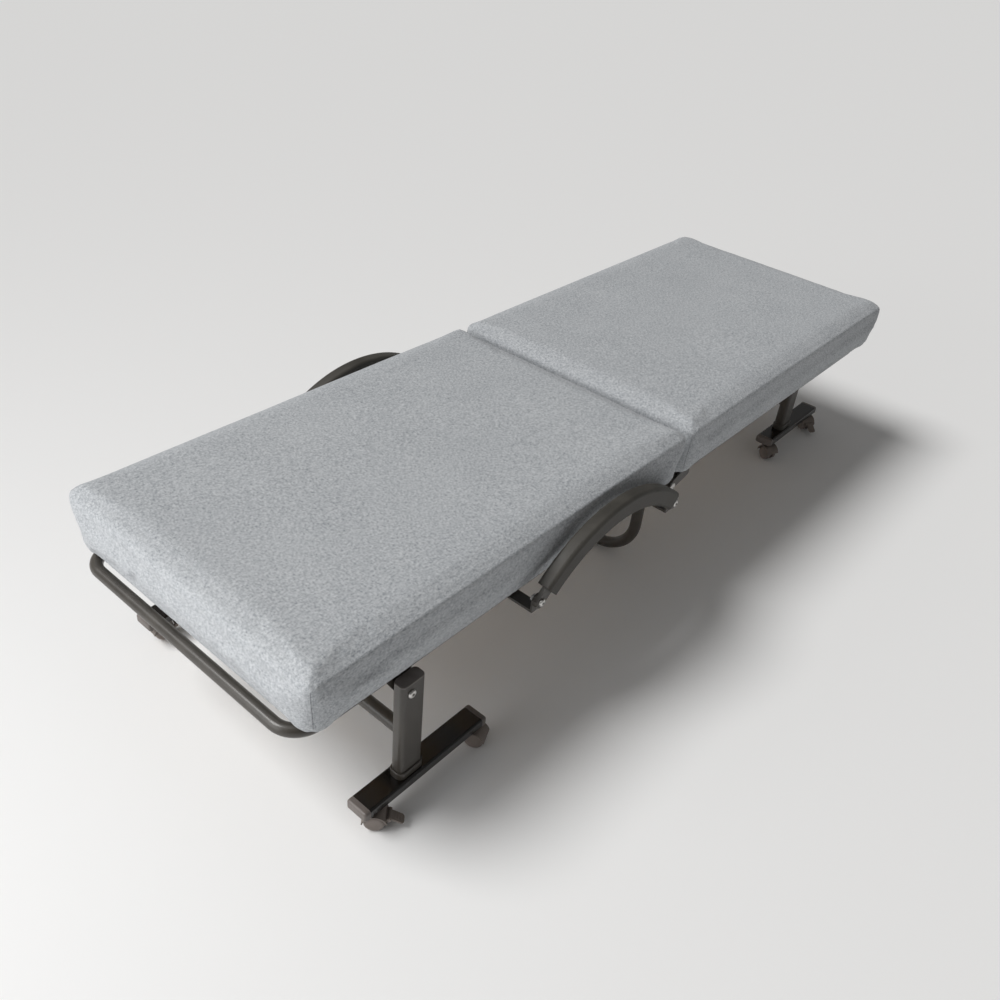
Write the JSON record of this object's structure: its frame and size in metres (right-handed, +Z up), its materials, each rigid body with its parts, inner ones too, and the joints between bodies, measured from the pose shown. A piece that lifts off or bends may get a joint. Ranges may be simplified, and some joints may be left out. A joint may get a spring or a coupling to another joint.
{
  "type": "rollaway bed",
  "caption": "Folding guest bed with a split grey mattress on hinged tube frames, push handles, a middle hoop leg and castor feet; lifting the middle folds it upright.",
  "frame": {"origin": "on the floor, below the middle of the whole bed's box", "axes": "+X along the bed from the front end, which has the push handles, to the rear end; +Y to the left side; +Z up"},
  "size_m": [1.915, 0.7, 0.405],
  "materials": {
    "grey_fabric": "woven heather grey cover",
    "frame_paint": "brown-black paint, soft gloss",
    "bar_paint": "brown-black paint, gloss",
    "slat_wood": "bent birch ply, clear lacquer",
    "cap_plastic": "moulded dark plastic",
    "grip_plastic": "soft moulded grip, dark olive grey",
    "zinc_steel": "zinc plated",
    "castor_plastic": "moulded brown-grey nylon",
    "wheel_plastic": "moulded brown-grey nylon",
    "foot_rubber": "matt rubber"
  },
  "bodies": {
    "front_leg": {"front_right_post": "frame_paint", "front_left_post": "frame_paint", "front_right_base_bar": "bar_paint", "front_left_base_bar": "bar_paint", "front_leg_crossbar": "frame_paint", "front_post_collars": "frame_paint", "front_leg_end_caps": "cap_plastic", "front_castor_stems": "zinc_steel", "front_pivot_bolts": "zinc_steel"},
    "front_half": {"front_mattress": "grey_fabric", "front_rail": "frame_paint", "front_slats": "slat_wood", "front_slat_caps": "cap_plastic", "front_hinge_plates": "frame_paint", "hinge_pins": "zinc_steel", "front_pivot_brackets": "frame_paint", "handle_strips": "frame_paint", "right_handle_pad": "grip_plastic", "left_handle_pad": "grip_plastic", "handle_brackets": "frame_paint", "handle_bolts": "zinc_steel"},
    "rear_half": {"rear_mattress": "grey_fabric", "rear_rail": "frame_paint", "rear_slats": "slat_wood", "rear_slat_caps": "cap_plastic", "rear_hinge_plates": "frame_paint", "rear_pivot_brackets": "frame_paint", "mid_leg_axle": "zinc_steel", "mid_leg_brackets": "frame_paint"},
    "mid_leg": {"mid_leg_hoop": "frame_paint", "mid_leg_sleeves": "foot_rubber"},
    "rear_leg": {"rear_right_post": "frame_paint", "rear_left_post": "frame_paint", "rear_right_base_bar": "bar_paint", "rear_left_base_bar": "bar_paint", "rear_leg_crossbar": "frame_paint", "rear_post_collars": "frame_paint", "rear_leg_end_caps": "cap_plastic", "rear_castor_stems": "zinc_steel", "rear_pivot_bolts_and_spacers": "zinc_steel"},
    "front_right_outer_castor": {"front_right_outer_castor_hood": "castor_plastic"},
    "front_right_outer_wheels": {"front_right_outer_castor_wheels": "wheel_plastic"},
    "front_right_outer_pedal": {"front_right_outer_brake_pedal": "castor_plastic"},
    "front_right_inner_castor": {"front_right_inner_castor_hood": "castor_plastic"},
    "front_right_inner_wheels": {"front_right_inner_castor_wheels": "wheel_plastic"},
    "front_left_outer_castor": {"front_left_outer_castor_hood": "castor_plastic"},
    "front_left_outer_wheels": {"front_left_outer_castor_wheels": "wheel_plastic"},
    "front_left_outer_pedal": {"front_left_outer_brake_pedal": "castor_plastic"},
    "front_left_inner_castor": {"front_left_inner_castor_hood": "castor_plastic"},
    "front_left_inner_wheels": {"front_left_inner_castor_wheels": "wheel_plastic"},
    "rear_right_outer_castor": {"rear_right_outer_castor_hood": "castor_plastic"},
    "rear_right_outer_wheels": {"rear_right_outer_castor_wheels": "wheel_plastic"},
    "rear_right_outer_pedal": {"rear_right_outer_brake_pedal": "castor_plastic"},
    "rear_right_inner_castor": {"rear_right_inner_castor_hood": "castor_plastic"},
    "rear_right_inner_wheels": {"rear_right_inner_castor_wheels": "wheel_plastic"},
    "rear_left_outer_castor": {"rear_left_outer_castor_hood": "castor_plastic"},
    "rear_left_outer_wheels": {"rear_left_outer_castor_wheels": "wheel_plastic"},
    "rear_left_outer_pedal": {"rear_left_outer_brake_pedal": "castor_plastic"},
    "rear_left_inner_castor": {"rear_left_inner_castor_hood": "castor_plastic"},
    "rear_left_inner_wheels": {"rear_left_inner_castor_wheels": "wheel_plastic"}
  },
  "joints": [
    {"name": "front_half_fold", "type": "hinge", "parent": "front_leg", "child": "front_half", "pos_m": [-0.7525, 0, 0.254], "axis": [0, -1, 0], "range_deg": [0, 83]},
    {"name": "centre_hinge", "type": "hinge", "parent": "front_half", "child": "rear_half", "pos_m": [0.0105, 0, 0.264], "axis": [0, 1, 0], "range_deg": [0, 166]},
    {"name": "rear_leg_pivot", "type": "hinge", "parent": "rear_half", "child": "rear_leg", "pos_m": [0.7735, 0, 0.254], "axis": [0, -1, 0], "range_deg": [0, 83]},
    {"name": "mid_leg_pivot", "type": "hinge", "parent": "rear_half", "child": "mid_leg", "pos_m": [0.0435, 0, 0.264], "axis": [0, -1, 0], "range_deg": [0, 83]},
    {"name": "front_right_outer_swivel", "type": "hinge", "parent": "front_leg", "child": "front_right_outer_castor", "pos_m": [-0.8335, -0.2975, 0.042], "axis": [0, 0, 1], "continuous": true},
    {"name": "front_right_outer_roll", "type": "hinge", "parent": "front_right_outer_castor", "child": "front_right_outer_wheels", "pos_m": [-0.82413, -0.3079, 0.018], "axis": [0.7431, 0.6691, 0], "continuous": true},
    {"name": "front_right_outer_brake", "type": "hinge", "parent": "front_right_outer_castor", "child": "front_right_outer_pedal", "pos_m": [-0.80822, -0.32557, 0.02573], "axis": [0.7431, 0.6691, 0], "range_deg": [0, 15]},
    {"name": "front_right_inner_swivel", "type": "hinge", "parent": "front_leg", "child": "front_right_inner_castor", "pos_m": [-0.5915, -0.2975, 0.042], "axis": [0, 0, 1], "continuous": true},
    {"name": "front_right_inner_roll", "type": "hinge", "parent": "front_right_inner_castor", "child": "front_right_inner_wheels", "pos_m": [-0.58558, -0.31019, 0.018], "axis": [0.9063, 0.4226, 0], "continuous": true},
    {"name": "front_left_outer_swivel", "type": "hinge", "parent": "front_leg", "child": "front_left_outer_castor", "pos_m": [-0.8335, 0.2975, 0.042], "axis": [0, 0, 1], "continuous": true},
    {"name": "front_left_outer_roll", "type": "hinge", "parent": "front_left_outer_castor", "child": "front_left_outer_wheels", "pos_m": [-0.81998, 0.29388, 0.018], "axis": [0.2588, 0.9659, 0], "continuous": true},
    {"name": "front_left_outer_brake", "type": "hinge", "parent": "front_left_outer_castor", "child": "front_left_outer_pedal", "pos_m": [-0.79701, 0.28772, 0.02573], "axis": [0.2588, 0.9659, 0], "range_deg": [0, 15]},
    {"name": "front_left_inner_swivel", "type": "hinge", "parent": "front_leg", "child": "front_left_inner_castor", "pos_m": [-0.5915, 0.2975, 0.042], "axis": [0, 0, 1], "continuous": true},
    {"name": "front_left_inner_roll", "type": "hinge", "parent": "front_left_inner_castor", "child": "front_left_inner_wheels", "pos_m": [-0.58558, 0.31019, 0.018], "axis": [-0.9063, 0.4226, 0], "continuous": true},
    {"name": "rear_right_outer_swivel", "type": "hinge", "parent": "rear_leg", "child": "rear_right_outer_castor", "pos_m": [0.9225, -0.203, 0.042], "axis": [0, 0, 1], "continuous": true},
    {"name": "rear_right_outer_roll", "type": "hinge", "parent": "rear_right_outer_castor", "child": "rear_right_outer_wheels", "pos_m": [0.91447, -0.21447, 0.018], "axis": [0.8192, -0.5736, 0], "continuous": true},
    {"name": "rear_right_outer_brake", "type": "hinge", "parent": "rear_right_outer_castor", "child": "rear_right_outer_pedal", "pos_m": [0.90083, -0.23394, 0.02573], "axis": [0.8192, -0.5736, 0], "range_deg": [0, 15]},
    {"name": "rear_right_inner_swivel", "type": "hinge", "parent": "rear_leg", "child": "rear_right_inner_castor", "pos_m": [0.6925, -0.203, 0.042], "axis": [0, 0, 1], "continuous": true},
    {"name": "rear_right_inner_roll", "type": "hinge", "parent": "rear_right_inner_castor", "child": "rear_right_inner_wheels", "pos_m": [0.68771, -0.21616, 0.018], "axis": [0.9397, -0.342, 0], "continuous": true},
    {"name": "rear_left_outer_swivel", "type": "hinge", "parent": "rear_leg", "child": "rear_left_outer_castor", "pos_m": [0.9225, 0.203, 0.042], "axis": [0, 0, 1], "continuous": true},
    {"name": "rear_left_outer_roll", "type": "hinge", "parent": "rear_left_outer_castor", "child": "rear_left_outer_wheels", "pos_m": [0.9295, 0.21512, 0.018], "axis": [-0.866, 0.5, 0], "continuous": true},
    {"name": "rear_left_outer_brake", "type": "hinge", "parent": "rear_left_outer_castor", "child": "rear_left_outer_pedal", "pos_m": [0.94139, 0.23572, 0.02573], "axis": [-0.866, 0.5, 0], "range_deg": [0, 15]},
    {"name": "rear_left_inner_swivel", "type": "hinge", "parent": "rear_leg", "child": "rear_left_inner_castor", "pos_m": [0.6925, 0.203, 0.042], "axis": [0, 0, 1], "continuous": true},
    {"name": "rear_left_inner_roll", "type": "hinge", "parent": "rear_left_inner_castor", "child": "rear_left_inner_wheels", "pos_m": [0.68447, 0.21447, 0.018], "axis": [-0.8192, -0.5736, 0], "continuous": true}
  ],
  "couplings": [
    {"joint": "centre_hinge", "follows": "front_half_fold", "ratio": 2},
    {"joint": "rear_leg_pivot", "follows": "front_half_fold", "ratio": 1},
    {"joint": "mid_leg_pivot", "follows": "front_half_fold", "ratio": 1}
  ]
}
